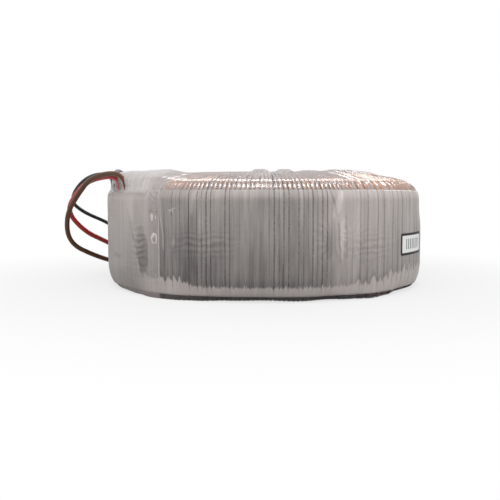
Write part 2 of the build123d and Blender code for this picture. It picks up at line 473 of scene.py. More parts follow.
@dataclass(frozen=True)
class ClearFilm:
    """Thin clear polyester film, wound round the ring's section in overlapping turns."""

    tint: tuple = (0.66, 0.585, 0.565)
    # The next colour is a painted reflection: the darker grey of the film at the seat's edge.
    painted_rim_reflection: tuple = (0.34, 0.305, 0.295)
    loose: tuple = (0.70, 0.645, 0.635)
    skirt: tuple = (0.19, 0.120, 0.126)
    # The next two colours are painted shade for the strip below the band: the lighter one in the unwound
    # sector, the darker one elsewhere.
    under: tuple = (0.19, 0.150, 0.148)
    foot: tuple = (0.042, 0.032, 0.032)
    # The next colour is a painted glint: orange for the flanks beside the gaps between bunched turns.
    glow: tuple = (0.86, 0.40, 0.17)
    # The next colour is painted shade for the gaps between bunched turns.
    painted_gap_shade: tuple = (0.17, 0.095, 0.095)
    roughness: float = 0.10
    relief: float = 0.25 * MM
    refraction: float = 1.9
    strip_degrees: float = 9.0
    strip_width: float = 20.0
    seat_edge: float = 44.5
    crown_heights: tuple = (53.0, 57.0)
    foot_heights: tuple = (3.0, 9.0)
    under_band_heights: tuple = (2.4, 3.4)
    unwound_sector: tuple = ((34.0, 35.5), (85.0, 87.0))
    loose_sector: tuple = ((35.0, 42.0), (82.0, 92.0))
    clearer_side: tuple = ((-130.0, -100.0), (-56.0, -42.0))
    clearer_foot: tuple = ((-130.0, -100.0), (-48.0, -18.0))
    bunched_sector: tuple = ((-72.0, -66.0), (-30.0, -26.0))
    bunched_heights: tuple = ((40.0, 46.0), (54.2, 56.2))

    def grooves(self, shader: Shader) -> tuple:
        """Masks for the painted shade in the gaps between bunched turns and for the painted glints beside
        them.

        Args:
            shader: The film's shader.

        Returns:
            Share of the gaps' middles, where shade is painted, and of the flanks beside them, where
            glints are painted.
        """
        bunched = (shader.left().between(*self.bunched_sector)
                   * shader.z.between(*self.bunched_heights))
        seam = shader.attribute("seam")
        return seam.rise(0.45, 0.85) * bunched, seam.rise(0.06, 0.30) * bunched * 0.8

    def material(self) -> bpy.types.Material:
        """Builds the material.

        Returns:
            The finished material.
        """
        shader = Shader("clear_film")
        left, radius, z = shader.left(), shader.radius(), shader.z

        # Slanting strips that overlap more and more towards the bore.
        step = (left + 400.0 + radius * 0.09) / self.strip_degrees
        edge = step.fraction().hump(0.06, 0.05)
        strip = shader.noise(step.whole() * 7.31, 0.0, detail=0.0)
        layers = (self.strip_width / (radius * math.radians(self.strip_degrees))).at_most(6.0)
        crinkle = shader.noise(shader.x * 0.22, shader.y * 0.22, z * 0.3, detail=4.0, roughness=0.6)
        streaks = shader.noise(shader.along() * 0.9, radius * 0.06, 3.0, detail=2.0)
        seam = shader.attribute("seam") * (0.55 + shader.attribute("gap") * 0.45)

        # Places where the film lies otherwise than on the turns.
        # Painted shade: below the band the film is made dark and nearly opaque, and towards the foot the
        # film is clearer so the copper's painted shade shows.
        crown, foot = z.rise(*self.crown_heights), z.fall(*self.foot_heights)
        below = z.fall(*self.under_band_heights)
        unwound = left.between(*self.unwound_sector)
        loose = left.between(*self.loose_sector) * z.rise(44.0, 50.0)
        skirt = left.hump(68.0, 20.0) * z.hump(51.5, 5.5) * radius.rise(75.0, 78.0)
        dull = left.hump(-46.0, 20.0) * z.rise(54.5, 56.5)
        # Painted reflection: a darker grey ring round the seat's edge on top, broken up by the crinkles.
        painted_rim_reflection_mask = z.rise(50.0, 54.0) * radius.hump(self.seat_edge, 4.0) * crinkle.rise(0.38, 0.60)
        painted_gap_shade, flank = self.grooves(shader)

        # How much of the film shows over what is below it.
        haze = (0.26 + layers * 0.045 + crown * 0.10 - foot * 0.16 + (strip - 0.5) * 0.16 + edge * 0.10
                + (crinkle - 0.45) * 0.30 + (streaks - 0.5) * 0.30 + loose * 0.26)
        haze = (haze.at_least(0.10).at_most(0.85) * (1.0 - seam * 0.85) * (1.0 - below * 0.84)
                * (1.0 - dull * 0.5) * (1.0 - left.between(*self.clearer_side) * 0.15))
        under_film = unwound * 0.30 + 0.55 - left.between(*self.clearer_foot) * 0.42
        haze = (haze + below * under_film + skirt * 0.50).at_most(0.95)
        # Painted shade: over the gaps between bunched turns the film is made nearly opaque, to carry the
        # dark colour.
        haze = haze * (1.0 - painted_gap_shade) + painted_gap_shade * 0.85

        colour = shader.layered(
            # Painted shade: the strip below the band is coloured dark here.
            self.tint, (self.painted_rim_reflection, painted_rim_reflection_mask * 0.8), (self.foot, below), (self.under, below * unwound),
            # Painted glint: orange on the flanks beside the gaps between bunched turns.
            (self.loose, loose), (self.skirt, (skirt * 1.8).at_most(0.85)), (self.glow, flank),
            # Painted shade in the gaps between bunched turns.
            (self.painted_gap_shade, painted_gap_shade))
        glint = shader.noise(shader.x * 0.7, shader.y * 0.7, z * 0.5, detail=2.0).rise(0.56, 0.66)
        folds = crinkle + edge * 0.15 + streaks * 0.2 + glint * skirt * 2.2
        return shader.surface(colour, self.roughness + crinkle * 0.08, haze,
                              shader.bump(folds, self.relief), IOR=self.refraction)


@dataclass(frozen=True)
class HazyBand:
    """Wide clear film round the outer wall: grey and streaked where it sticks to the turns."""

    first_turn: float
    turn_degrees: float
    shade: tuple = (0.100, 0.090, 0.086)
    pale: tuple = (0.735, 0.665, 0.635)
    roughness: float = 0.34
    relief: float = 0.12 * MM
    refraction: float = 1.45
    opacity: float = 0.93
    unwound_sector: tuple = ((35.0, 40.5), (84.0, 90.0))
    melted_sector: tuple = ((39.0, 41.5), (86.0, 93.0))
    wave_length: float = 2.7
    patches: tuple = (
        HazePatch(42.6, 21.5, 5.6, 12.0, -0.15, lean=-0.12, edge=0.5),
        HazePatch(45.5, 36.5, 5.6, 8.5, -0.035, lean=-0.2, edge=0.3),
        HazePatch(49.0, 41.0, 4.2, 9.0, 0.05, lean=-0.1, edge=0.4),
        HazePatch(59.5, 17.5, 8.0, 1.8, -0.07, edge=0.2),
        HazePatch(29.6, 39.9, 1.9, 1.5, 0.13, edge=0.2),
        HazePatch(29.3, 25.8, 1.2, 2.4, 0.10, edge=0.2),
        HazePatch(22.3, 44.0, 1.5, 7.0, 0.10, lean=0.1, edge=0.2),
        HazePatch(19.3, 38.0, 1.2, 11.0, 0.09, lean=0.05, edge=0.2),
        HazePatch(-22.9, 42.5, 2.3, 8.0, 0.13, lean=0.22, edge=0.35),
        HazePatch(-24.6, 28.0, 1.7, 12.0, 0.09, lean=0.05, edge=0.25),
        # Painted shade: a darker patch beside the right-hand fold.
        HazePatch(-20.5, 27.0, 3.2, 10.0, -0.06, edge=0.2),
        HazePatch(24.0, 22.0, 9.0, 20.0, -0.045, edge=0.1),
        HazePatch(-59.5, 9.3, 5.5, 1.9, -0.13, edge=0.1),
    )
    creases: tuple = (
        Crease((34.6, 49.0), (32.9, 22.7), 0.5, 0.14),
        Crease((51.0, 40.0), (47.2, 27.0), 1.1, -0.06),
        Crease((47.2, 27.0), (42.8, 11.5), 1.0, -0.05),
        # The next dark creases are painted shadow along the edges of the right-hand fold.
        Crease((-20.4, 49.0), (-22.7, 37.5), 0.7, -0.10),
        Crease((-23.1, 34.5), (-23.9, 18.0), 0.7, -0.10),
        Crease((-25.6, 38.0), (-26.2, 20.0), 0.6, -0.06),
    )
    fans: tuple = (
        Fan(-21.5, 28.0, 12.0, 15.0, 0.026),
        Fan(-28.5, 28.0, 10.0, 13.0, 0.024),
        Fan(29.6, 40.0, 2.4, 5.0, 0.09),
    )

    def lightness(self, shader: Shader) -> Field:
        """How light the band is: darker where it is wetted on to the turns, pale where it lies off, with
        painted shade that darkens it lower down the wall and painted light on its top strip.

        Args:
            shader: The band's shader.

        Returns:
            Lightness from about 0.1 to 0.7.
        """
        left, across, up = shader.left(), shader.along(), shader.z
        along = across + (shader.noise(across * 0.25, up * 0.12, 21.0) - 0.5) * 2.6
        z = up + (shader.noise(across * 0.16, up * 0.2, 37.0) - 0.5) * 5.5
        unwound = left.between(*self.unwound_sector)
        side = (left.fall(-27.0, -10.0) + left.rise(92.0, 110.0) + unwound).clamped()
        # Painted shade: this share makes the band darker lower down the wall.
        low = up.fall(7.0, 43.0)
        streaks = shader.noise(across * 0.42, up * 0.03, detail=4.0, roughness=0.62) - 0.5
        fine = shader.noise(across * 1.4, up * 0.05, 5.0, detail=2.0) - 0.5
        broad = shader.noise(across * 0.075, up * 0.05, 3.0, detail=1.0) - 0.5
        calm = 1.0 - unwound * 0.6
        turn = ((self.first_turn - left) * (1.0 / self.turn_degrees)).whole()
        turns = shader.noise(turn * 3.7, up * 0.012, 2.0, detail=0.0) - 0.5
        # Painted shade and light: darker lower down the wall, lighter over the top strip from 43.5 to 48
        # mm.
        light = (0.27 - low * 0.115 + side * (0.14 - low * 0.01) + up.rise(43.5, 48.0) * 0.13
                 + streaks * calm * 0.24 + turns * calm * 0.13 + fine * calm * 0.14 + broad * 0.10)
        for mark in self.patches + self.creases + self.fans:
            light = light + mark.strength(along, z)
        wave = (z * (math.tau / self.wave_length) + along * 0.12).sine()
        rippled = (left.hump(19.0, 16.0) * z.hump(25.5, 9.0) + left.hump(-36.0, 14.0) * z.hump(24.0, 10.0)
                   + left.hump(44.0, 6.0) * z.hump(23.0, 15.0) * 1.3)
        light = light + wave * rippled * 0.044
        return self.with_lip(shader, light, streaks, side)

    def with_lip(self, shader: Shader, light: Field, streaks: Field, side: Field) -> Field:
        """Adds the pale toothed strip above the lower edge, where the band lies off the turns.

        Args:
            shader: The band's shader.
            light: Lightness without the strip.
            streaks: Upright streaks round 0.
            side: How much a place is off the front.

        Returns:
            Lightness with the strip.
        """
        left, across = shader.left(), shader.along()
        wide = (left.fall(-46.0, -34.0) + left.rise(21.0, 29.0)).clamped()
        teeth = shader.noise(across * 0.33, 7.0, detail=1.0, roughness=0.6).rise(0.36, 0.72)
        points = shader.noise(across * 1.1, 11.0, detail=2.0, roughness=0.6).rise(0.35, 0.75)
        wound = left.fall(34.0, 47.0).at_least(left.rise(78.0, 92.0))
        torn = left.hump(-36.0, 13.0)
        lip = (5.9 + wide * 1.8 + left.fall(-54.0, -42.0) * 2.0
               + teeth * ((wide + torn * 1.1).at_most(1.0) * 3.4 + 0.6) + points * 2.0)
        loose = shader.z.fall(lip - 0.4, lip + 0.5) * wound
        shaded = light - shader.z.fall(lip, lip + 5.0) * (0.03 + torn * 0.06)
        pale = 0.35 + side * 0.06 + wide * 0.03 + streaks * 0.20
        return shaded * (1.0 - loose) + pale * loose

    def material(self) -> bpy.types.Material:
        """Builds the material.

        Returns:
            The finished material.
        """
        shader = Shader("hazy_band")
        along, z, left = shader.along(), shader.z, shader.left()
        broken = shader.noise(along * 0.8, z * 0.05, 14.0).rise(0.25, 0.55)
        dots = shader.noise(along * 0.8, z * 0.75, 17.0, detail=0.0).rise(0.35, 0.60)
        seam = shader.attribute("seam")
        strength = (shader.attribute("gap") / seam.at_least(0.02)).rise(0.10, 0.90)
        gap = (strength * seam.rise(0.30, 0.75) * (0.30 + broken * 0.35 + dots * 0.35)
               * (1.0 - left.fall(-27.0, -15.0) * 0.55) * z.rise(3.0, 9.0)).at_most(1.0)
        light = self.lightness(shader) * (1.0 - gap * 0.35)
        colour = shader.blend(self.shade, self.pale, ((light - 0.09) / 0.61).clamped())
        fine = shader.noise(along * 2.6, z * 0.12, 5.0, detail=2.0)
        ripple = ((z * 2.33 + shader.noise(along * 0.05, z * 0.05) * 6.0).sine() + 1.0) * 0.5
        rippled = shader.noise(along * 0.04, z * 0.06, 8.0, detail=1.0).rise(0.45, 0.6)
        height = ripple * rippled * 0.4 + fine * 0.5 + light
        melted = left.between(*self.melted_sector) * z.rise(44.8, 49.2)
        return shader.surface(colour, self.roughness + fine * 0.1,
                              (self.opacity - gap * 0.55) * (1.0 - melted),
                              shader.bump(height, self.relief), IOR=self.refraction)


@dataclass(frozen=True)
class CreasedTape:
    """Clear tape over the end of the film, with slanting creases and blisters."""

    shade: tuple = (0.0, 0.0, 0.0)
    pale: tuple = (1.0, 0.91, 0.88)
    roughness: float = 0.22
    relief: float = 0.25 * MM
    refraction: float = 1.5
    edges: tuple = (34.75, 39.15)

    def material(self) -> bpy.types.Material:
        """Builds the material.

        Returns:
            The finished material.
        """
        shader = Shader("creased_tape")
        across, up, left = shader.along(), shader.z, shader.left()
        along = across + (shader.noise(across * 0.5, up * 0.5, 21.0) - 0.5) * 2.0
        z = up + (shader.noise(across * 0.5, up * 0.5, 37.0) - 0.5) * 2.6
        slashes = ((z * 1.15 - along * 0.75) * 2.1).sine().rise(0.1, 0.9) * up.hump(46.5, 5.5)
        line = z.hump(39.2, 0.55)
        blisters = (HazePatch(37.6, 36.6, 1.1, 2.4, 0.22, edge=0.3).strength(along, z)
                    + HazePatch(35.9, 36.8, 0.7, 1.6, 0.16, edge=0.3).strength(along, z))
        loop = (HazePatch(36.6, 27.2, 2.2, 3.0, 0.24, edge=0.75).strength(along, z)
                - HazePatch(36.6, 26.8, 1.4, 2.2, 0.24, edge=0.6).strength(along, z))
        edges = left.hump(self.edges[0], 0.30) + left.hump(self.edges[1], 0.22) * 0.6
        cloud = shader.noise(across * 0.5, up * 0.16, detail=3.0) - 0.5
        # Painted light: the tape is lighter towards its top, as the band is.
        light = 0.52 + up.rise(40.0, 49.0) * 0.14 + cloud * 0.22 + blisters + loop + edges * 0.10
        light = (light - slashes * 0.17 - line * 0.18).clamped()
        colour = shader.blend(self.shade, self.pale, light)
        alpha = 0.30 + (blisters + loop) * 1.6 + edges * 0.3 + slashes * 0.4 + line * 0.3
        height = cloud - slashes * 0.6 + blisters
        return shader.surface(colour, self.roughness, alpha.at_least(0.2).at_most(0.9),
                              shader.bump(height, self.relief), IOR=self.refraction)


@dataclass(frozen=True)
class LeadSheath:
    """Extruded PVC of a flying lead, with faint drawing lines and handling marks."""

    name: str
    colour: tuple
    worn: tuple
    shine: tuple = (1.0, 1.0, 1.0, 1.0)
    gloss: float = 0.5
    roughness: float = 0.32
    relief: float = 0.03 * MM

    def material(self) -> bpy.types.Material:
        """Builds the material.

        Returns:
            The finished material.
        """
        shader = Shader(self.name)
        blotch = shader.noise(shader.x * 0.12, shader.y * 0.12, shader.z * 0.12, detail=3.0)
        grain = shader.noise(shader.x * 2.4, shader.y * 2.4, shader.z * 2.4, detail=2.0)
        colour = shader.blend(self.colour, self.worn, (blotch * 0.8 + grain * 0.25 - 0.2).clamped())
        return shader.surface(colour, self.roughness + grain * 0.10,
                              normal=shader.bump(grain, self.relief), Specular_IOR_Level=self.gloss,
                              Specular_Tint=self.shine)


@dataclass(frozen=True)
class StickerVinyl:
    """White vinyl with a thin black border and a short row of plain upright bars."""

    left: float
    z: float
    width: float
    height: float
    border: float = 0.95
    inset: float = 0.15
    corner: float = 1.1
    bars_per_mm: float = 0.42
    bars_half_width: float = 8.6
    bars_half_height: float = 2.3
    soft_edge: float = 0.3
    roughness: float = 0.5
    gloss: float = 0.2
    vinyl: tuple = (0.74, 0.74, 0.74)
    vinyl_grain: tuple = (0.84, 0.84, 0.845)
    ink: tuple = (0.012, 0.012, 0.013)

    def material(self) -> bpy.types.Material:
        """Builds the material.

        Returns:
            The finished material.
        """
        shader = Shader("sticker_vinyl")
        inside = shader.along() - math.radians(self.left) * RING_RADIUS_MM
        across = inside.size() - (self.width / 2 - self.inset - self.corner)
        up = (shader.z - self.z).size() - (self.height / 2 - self.inset - self.corner)
        outer_x, outer_y = across.at_least(0.0), up.at_least(0.0)
        corner = shader.math("SQRT", outer_x * outer_x + outer_y * outer_y)
        distance = corner + across.at_least(up).at_most(0.0) - self.corner
        line = distance.rise(-self.border - 0.08, -self.border)
        bars = (inside * self.bars_per_mm).fraction().hump(0.5, 0.32).rise(0.2, 0.5)
        bars = bars * (shader.z - self.z).size().fall(self.bars_half_height,
                                                      self.bars_half_height + self.soft_edge)
        bars = bars * inside.size().fall(self.bars_half_width, self.bars_half_width + self.soft_edge)
        grain = shader.noise(shader.x * 1.5, shader.y * 1.5, shader.z * 1.5)
        colour = shader.layered(self.vinyl, (self.vinyl_grain, grain),
                                (self.ink, line.at_least(bars * 0.86)))
        return shader.surface(colour, self.roughness, Specular_IOR_Level=self.gloss)


@dataclass(frozen=True)
class PlainFinish:
    """A finish of one tone with fine grain, for the pieces inside the ring."""

    name: str
    colour: tuple
    roughness: float
    metallic: float = 0.0
    grain: float = 1.4
    stretch: tuple = (1.0, 1.0, 1.0)
    relief: float = 0.04 * MM

    def material(self) -> bpy.types.Material:
        """Builds the material.

        Returns:
            The finished material.
        """
        shader = Shader(self.name)
        scale = [self.grain * share for share in self.stretch]
        noise = shader.noise(shader.x * scale[0], shader.y * scale[1], shader.z * scale[2], detail=3.0)
        darker = tuple(channel * 0.72 for channel in self.colour)
        colour = shader.blend(darker, self.colour, noise)
        return shader.surface(colour, self.roughness + (noise - 0.5) * 0.15,
                              normal=shader.bump(noise, self.relief), Metallic=self.metallic)


# ---------------------------------------------------------------- the ring's shape

class Stretch(Enum):
    """The stretches of the ring's section, in order from the foot of the outer wall."""

    WALL = "wall"
    SHOULDER = "shoulder"
    CROWN = "crown"
    SEAT = "seat"
    MOUTH = "mouth"
    BORE = "bore"
    THROAT = "throat"
    UNDERSIDE = "underside"
    HEEL = "heel"


@dataclass(frozen=True)
class Station:
    """A point of the ring's section, with the direction that faces out of the ring there."""

    stretch: Stretch
    radius: float
    height: float
    out_radius: float
    out_height: float

    def sunk(self, depth: float) -> tuple:
        """Radius and height of the point that lies a depth below the surface."""
        return self.radius - self.out_radius * depth, self.height - self.out_height * depth


@dataclass(frozen=True)
class RingSection:
    """The outline of the finished ring's section, in metres."""

    outer_radius: float = RING_RADIUS_MM * MM
    bore_radius: float = 21.0 * MM
    top: float = 58.0 * MM
    bore_low: float = 14.5 * MM
    bore_high: float = 43.5 * MM
    mouth_radius: float = 35.5 * MM
    seat_radius: float = 44.0 * MM
    wall_low: float = 12.0 * MM
    wall_high: float = 44.5 * MM
    heel_radius: float = 73.0 * MM
    shoulder_radius: float = 10.0 * MM
    shoulder_angle: float = 76.0

    def line(self, stretch: Stretch, start: tuple, end: tuple, steps: int) -> list:
        """Stations on a straight stretch, without its end.

        Args:
            stretch: Its name.
            start: Radius and height of the first point.
            end: Radius and height of the last point.
            steps: How many stations.

        Returns:
            The stations.
        """
        run, climb = end[0] - start[0], end[1] - start[1]
        length = math.hypot(run, climb)
        return [Station(stretch, start[0] + run * k / steps, start[1] + climb * k / steps,
                        climb / length, -run / length) for k in range(steps)]

    def arc(self, stretch: Stretch, centre: tuple, half_axes: tuple, start: float, end: float,
            steps: int) -> list:
        """Stations on a circular or elliptical stretch, without its end.

        Args:
            stretch: Its name.
            centre: Radius and height of the middle.
            half_axes: The ellipse's half axes.
            start: Angle of the first point in degrees.
            end: Angle of the last point in degrees.
            steps: How many stations.

        Returns:
            The stations.
        """
        found = []
        for k in range(steps):
            angle = math.radians(start + (end - start) * k / steps)
            out = Vector((math.cos(angle) / half_axes[0], math.sin(angle) / half_axes[1])).normalized()
            found.append(Station(stretch, centre[0] + half_axes[0] * math.cos(angle),
                                 centre[1] + half_axes[1] * math.sin(angle), out.x, out.y))
        return found

    def stations(self, counts: dict) -> list:
        """The whole outline, once round.

        Args:
            counts: How many stations each stretch has.

        Returns:
            Stations from the foot of the outer wall, up and over, down the bore and back.
        """
        shoulder = (self.outer_radius - self.shoulder_radius, self.wall_high)
        end = math.radians(self.shoulder_angle)
        crown_r = shoulder[0] + self.shoulder_radius * math.cos(end) - self.seat_radius
        crown_drop = self.top - shoulder[1] - self.shoulder_radius * math.sin(end)
        crown = (crown_r ** 2 + crown_drop ** 2) / (2 * crown_drop)
        mouth = self.mouth_radius - self.bore_radius
        foot = self.outer_radius - self.heel_radius
        s = Stretch
        return [
            *self.line(s.WALL, (self.outer_radius, self.wall_low),
                       (self.outer_radius, self.wall_high), counts[s.WALL]),
            *self.arc(s.SHOULDER, shoulder, (self.shoulder_radius,) * 2, 0, self.shoulder_angle,
                      counts[s.SHOULDER]),
            *self.arc(s.CROWN, (self.seat_radius, self.top - crown), (crown,) * 2,
                      self.shoulder_angle, 90, counts[s.CROWN]),
            *self.line(s.SEAT, (self.seat_radius, self.top), (self.mouth_radius, self.top),
                       counts[s.SEAT]),
            *self.arc(s.MOUTH, (self.mouth_radius, self.bore_high), (mouth, self.top - self.bore_high),
                      90, 180, counts[s.MOUTH]),
            *self.line(s.BORE, (self.bore_radius, self.bore_high), (self.bore_radius, self.bore_low),
                       counts[s.BORE]),
            *self.arc(s.THROAT, (self.mouth_radius, self.bore_low), (mouth, self.bore_low),
                      180, 270, counts[s.THROAT]),
            *self.line(s.UNDERSIDE, (self.mouth_radius, 0.0), (self.heel_radius, 0.0),
                       counts[s.UNDERSIDE]),
            *self.arc(s.HEEL, (self.heel_radius, self.wall_low), (foot, self.wall_low), 270, 360,
                      counts[s.HEEL]),
        ]


def on_ring(radius: float, left: float, z: float) -> Vector:
    """Point at a radius and height, a number of degrees to the left of the front."""
    angle = math.radians(left)
    return Vector((-radius * math.sin(angle), -radius * math.cos(angle), z))


def ease(share: float) -> float:
    """Smooth step from 0 to 1."""
    share = max(0.0, min(1.0, share))
    return share * share * (3 - 2 * share)


@dataclass(frozen=True)
class Bulge:
    """A place where the ring is fuller, or with a negative lift flatter, than its section.

    Points move away from a pivot inside the ring, most where they lie at the bulge's own angle
    up from the pivot.
    """

    left: float
    half_left: float
    pivot: tuple
    angle: float
    half_angle: float
    lift: float
    plateau: float = 1.0
    lowest: float = 0.2 * MM

    def moved(self, radius: float, left: float, height: float) -> tuple:
        """Moves a point that lies within the bulge.

        Args:
            radius: The point's distance from the axis.
            left: Degrees to the left of the front.
            height: The point's height.

        Returns:
            Its new radius and height.
        """
        turned = abs((left - self.left + 180) % 360 - 180) / self.half_left
        if turned >= 1.0:
            return radius, height
        out, up = radius - self.pivot[0], height - self.pivot[1]
        reach = abs(math.degrees(math.atan2(up, out)) - self.angle) / self.half_angle
        if reach >= 1.0:
            return radius, height
        lift = self.lift * ease((1 - turned) * self.plateau) * ease((1 - reach) * self.plateau)
        length = math.hypot(out, up)
        return radius + out / length * lift, max(self.lowest, height + up / length * lift)


@dataclass(frozen=True)
class FullHeel:
    """How far the underside's edge is pushed out beyond the plain section, all round the ring.

    The lifts are pairs of degrees to the left of the front and millimetres.
    """

    inner: float = 58.0 * MM
    edge: float = RingSection.heel_radius
    outer: float = RingSection.outer_radius
    top: float = RingSection.wall_low
    lifts: tuple = ((-180, 3.6), (-150, 2.2), (-122, 5.0), (-98, 3.0), (-73, 4.4), (-61, 3.0), (-54, 2.4),
                    (-46, 6.3), (-37, 8.6), (-29, 5.2), (-22, 1.8), (-12, 4.6), (0, 0.9), (12, 3.0),
                    (22, 7.4), (29, 9.4), (38, 9.2), (48, 6.0), (60, 4.2), (76, 3.6), (100, 2.6),
                    (128, 4.8), (150, 2.0), (180, 3.6))

    def moved(self, radius: float, left: float, height: float) -> tuple:
        """Moves a point that lies on the heel.

        Args:
            radius: The point's distance from the axis.
            left: Degrees to the left of the front.
            height: The point's height.

        Returns:
            Its new radius and height.
        """
        if height >= self.top or radius <= self.inner:
            return radius, height
        left = (left + 180) % 360 - 180
        after = next(k for k in range(1, len(self.lifts)) if left <= self.lifts[k][0])
        (start, low), (end, high) = self.lifts[after - 1:after + 1]
        lift = (low + (high - low) * ease((left - start) / (end - start))) * MM
        if radius > self.edge:
            share = 1 - (radius - self.edge) / (self.outer - self.edge)
        else:
            share = (radius - self.inner) / (self.edge - self.inner)
        return radius + lift * max(0.0, share), height


SHOULDER_PIVOT = (68.0 * MM, 42.0 * MM)
WOUND_BULGES = (
    FullHeel(),
    Bulge(-92.0, 54.0, (60.0 * MM, 30.0 * MM), 34.0, 38.0, -1.4 * MM),
)
FILM_BULGES = (
    Bulge(62.0, 34.0, SHOULDER_PIVOT, 78.0, 50.0, 2.9 * MM, 1.9),
    Bulge(67.0, 24.0, SHOULDER_PIVOT, 56.0, 26.0, 1.6 * MM, 1.5),
    Bulge(-46.0, 18.0, (58.0 * MM, 26.0 * MM), 90.0, 26.0, 1.5 * MM, 1.5),
    Bulge(2.0, 5.5, (47.0 * MM, 20.0 * MM), 90.0, 10.0, 1.2 * MM, 1.8),
    Bulge(-11.5, 5.0, (47.0 * MM, 20.0 * MM), 90.0, 10.0, 1.1 * MM, 1.8),
    Bulge(-26.0, 8.0, (50.0 * MM, 20.0 * MM), 90.0, 12.0, 0.7 * MM, 1.4),
)


@dataclass
class TurnPlan:
    """Where each turn of the winding stands on the outer wall, the same for all that follows it."""

    turns: int = 208
    start_left: float = 34.0
    end_left: float = 86.0
    wander: float = 0.07
    bare_columns: int = 44
    bunched: tuple = (-66.0, -27.5)
    bunching: float = 0.16
    open_gap: float = 1.2
    crest: float = 0.26
    seed: int = 20

    centres: list = field(default_factory=list)
    columns: list = field(default_factory=list)

    def __post_init__(self) -> None:
        """Places the turns, and the columns of points that the film over them has."""
        rng = random.Random(self.seed)
        pitch = self.wound() / self.turns
        self.centres = [self.start_left - pitch * (k + 0.5 + rng.uniform(-1, 1) * self.wander)
                        for k in range(self.turns)]
        open_gaps = self.bunch(pitch)
        for k, centre in enumerate(self.centres):
            self.columns += [(centre + pitch * self.crest, 0.0), (centre - pitch * self.crest, 0.0)]
            if k < self.turns - 1:
                strength = rng.uniform(0.0, 1.0) ** 1.1 + 0.06
                if self.bunched[0] < centre < self.bunched[1]:
                    strength = self.open_gap + strength if k in open_gaps else 0.0
                self.columns.append(((centre + self.centres[k + 1]) / 2, strength))
        width = (360 - self.wound()) / (self.bare_columns + 1)
        self.columns += [(self.start_left - self.wound() - width * (k + 1), 0.0)
                         for k in range(self.bare_columns)]

    def wound(self) -> float:
        """Degrees of the ring that have turns on them."""
        return 360 - self.end_left + self.start_left

    def bunch(self, pitch: float) -> set:
        """Draws the turns of one sector together in twos and threes.

        Args:
            pitch: Degrees from one turn to the next.

        Returns:
            The turns that have a wide gap after them.
        """
        rng = random.Random(self.seed + 1)
        open_gaps = set()
        k = next(k for k, centre in enumerate(self.centres) if centre < self.bunched[1])
        while self.centres[k] > self.bunched[0]:
            size = rng.choice((2, 2, 3))
            for place in range(size):
                self.centres[k + place] += pitch * self.bunching * (place - (size - 1) / 2)
            k += size
            open_gaps.add(k - 1)
        return open_gaps


def spin_round(bm: bmesh.types.BMesh, points: list, closed: bool, steps: int) -> None:
    """Joins points into a line and spins it once round the ring's axis.

    Args:
        bm: The mesh that holds the points.
        points: The points in order.
        closed: Whether the last point joins the first.
        steps: How many columns the spin makes.
    """
    for k in range(len(points) - (0 if closed else 1)):
        bm.edges.new((points[k], points[(k + 1) % len(points)]))
    bmesh.ops.spin(bm, geom=bm.verts[:] + bm.edges[:], cent=(0, 0, 0), axis=(0, 0, 1),
                   angle=math.tau, steps=steps, use_merge=True, use_duplicate=False)
    bmesh.ops.remove_doubles(bm, verts=bm.verts[:], dist=SAME_PLACE)


def add_object(name: str, data: bpy.types.ID) -> bpy.types.Object:
    """Makes an object of a mesh, curve, lamp or camera, linked to the scene.

    Args:
        name: The object's name.
        data: What it holds.

    Returns:
        The object.
    """
    added = bpy.data.objects.new(name, data)
    bpy.context.scene.collection.objects.link(added)
    return added


class RingMesh:
    """A skin that goes once round the ring, spun from a stretch of its section."""

    def __init__(self, stations: list, plan: TurnPlan, closed: bool) -> None:
        """Spins the section and puts its columns where the plan says.

        Args:
            stations: The section's stations.
            plan: The turn plan whose columns the skin follows.
            closed: Whether the section's last station joins its first.
        """
        self.bm = bmesh.new()
        self.stations = stations
        self.plan = plan
        steps = len(plan.columns)
        first = plan.columns[0][0]
        self.row = self.bm.verts.layers.int.new("row")
        self.gap = self.bm.verts.layers.float.new("gap")
        self.seam = self.bm.verts.layers.float.new("seam")
        points = [self.bm.verts.new(on_ring(s.radius, first, s.height)) for s in stations]
        for k, point in enumerate(points):
            point[self.row] = k
        spin_round(self.bm, points, closed, steps)
        self.column = {}
        for vertex in self.bm.verts:
            left = math.degrees(math.atan2(-vertex.co.x, -vertex.co.y))
            self.column[vertex] = round((first - left) / 360 * steps) % steps

    def push(self, depth: Callable[[Station, float, float], float], bulges: tuple) -> None:
        """Moves every point below the finished surface, then out with the bulges.

        Args:
            depth: Function of station, degrees left and gap strength that gives the depth.
            bulges: Places where the ring is fuller or flatter than its section.
        """
        for vertex in self.bm.verts:
            station = self.stations[vertex[self.row]]
            left, gap = self.plan.columns[self.column[vertex]]
            vertex[self.gap] = min(gap, 1.0)
            vertex[self.seam] = float(gap > 0)
            radius, height = station.sunk(depth(station, left, gap))
            for bulge in bulges:
                radius, height = bulge.moved(radius, left, height)
            vertex.co = on_ring(radius, left, height)

    def finish(self, name: str, material: bpy.types.Material, thickness: float) -> bpy.types.Object:
        """Turns the faces outwards, makes the object and gives it a wall inwards from the skin.

        Args:
            name: The object's name.
            material: Its finish.
            thickness: The wall's thickness in metres.

        Returns:
            The object.
        """
        bmesh.ops.recalc_face_normals(self.bm, faces=self.bm.faces[:])
        piece = make_object(name, self.bm, material)
        solidify = piece.modifiers.new("thickness", "SOLIDIFY")
        solidify.thickness = thickness
        solidify.offset = -1.0
        return piece


def make_object(name: str, bm: bmesh.types.BMesh, material: bpy.types.Material) -> bpy.types.Object:
    """Makes a smooth-shaded object of a bmesh and frees it.

    Args:
        name: The object's name.
        bm: Its mesh.
        material: Its finish.

    Returns:
        The object, linked to the scene and riding on the ring.
    """
    mesh = bpy.data.meshes.new(name)
    for face in bm.faces:
        face.smooth = True
    bm.to_mesh(mesh)
    bm.free()
    mesh.materials.append(material)
    piece = add_object(name, mesh)
    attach(piece, BODY)
    log.info("%s: %d faces", name, len(mesh.polygons))
    return piece


# ---------------------------------------------------------------- sub-assemblies

